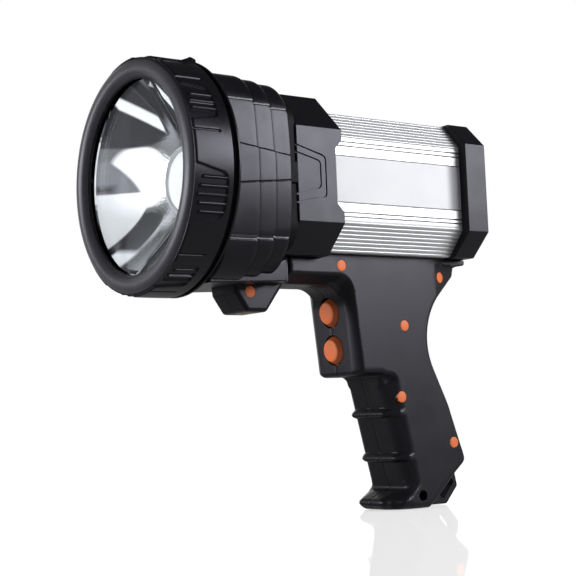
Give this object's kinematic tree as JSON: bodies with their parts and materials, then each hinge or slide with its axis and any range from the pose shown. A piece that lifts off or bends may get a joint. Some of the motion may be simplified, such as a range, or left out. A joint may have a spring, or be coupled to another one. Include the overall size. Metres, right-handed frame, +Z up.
{
  "type": "handheld searchlight",
  "caption": "Pistol-grip rechargeable searchlight with a round head, a ribbed aluminium tube with side light panels, and two orange push buttons.",
  "frame": {"origin": "middle of the bounding box's underside, level with the grip's foot", "axes": "-Y along the beam, +Z up from the foot through the lamp, +X the side with the screw plugs"},
  "size_m": [0.119, 0.2038, 0.232],
  "materials": {
    "black_plastic": "fine spark-eroded grain, satin black",
    "grip_plastic": "fine grained charcoal, slightly worn",
    "orange_plastic": "satin orange, soft to the touch",
    "clear_lens": "clear and polished",
    "chrome_bowl": "vacuum metallised mirror",
    "white_plastic": "bright white",
    "frosted_panel": "frosted, lavender white",
    "circuit_board": "solder mask green",
    "bright_aluminium": "bright extruded, fine lines along it",
    "cell_can": "shrink sleeve over the can",
    "steel": "zinc plated",
    "brass": "turned",
    "rubber": "matt black"
  },
  "bodies": {
    "lamp": {"bezel_ring": "black_plastic", "head_shell": "black_plastic", "saddle_right": "black_plastic", "saddle_left": "black_plastic", "collar": "black_plastic", "rear_cap": "black_plastic", "cell_holder_front": "black_plastic", "cell_holder_rear": "black_plastic", "tact_switches": "black_plastic", "grip_right": "grip_plastic", "grip_left": "grip_plastic", "screw_plugs": "orange_plastic", "front_lens": "clear_lens", "reflector": "chrome_bowl", "led_ring": "white_plastic", "led_emitter": "white_plastic", "light_panel_right": "frosted_panel", "light_panel_left": "frosted_panel", "charge_indicator": "frosted_panel", "led_board": "circuit_board", "led_strip_right": "circuit_board", "led_strip_left": "circuit_board", "driver_board": "circuit_board", "switch_board": "circuit_board", "body_tube": "bright_aluminium", "heat_sink": "bright_aluminium", "battery_cells": "cell_can", "sink_screws": "steel", "cap_screws": "steel", "grip_screws": "steel", "charge_socket": "steel", "tripod_socket": "brass", "lens_seal": "rubber", "cap_gasket": "rubber"},
    "upper_button": {"main_button": "orange_plastic"},
    "lower_button": {"side_light_button": "orange_plastic"},
    "flap": {"port_cover": "rubber"}
  },
  "joints": [
    {"name": "main_button_press", "type": "slide", "parent": "lamp", "child": "upper_button", "axis": [0, 0.9959, 0.0908], "range_m": [0, 0.0015], "stiffness_N_per_m": 800},
    {"name": "side_light_button_press", "type": "slide", "parent": "lamp", "child": "lower_button", "axis": [0, 0.9959, 0.0908], "range_m": [0, 0.0015], "stiffness_N_per_m": 800},
    {"name": "port_cover_swing", "type": "hinge", "parent": "lamp", "child": "flap", "pos_m": [0, 0.099, 0.165], "axis": [1, 0, 0], "range_deg": [0, 90]}
  ]
}
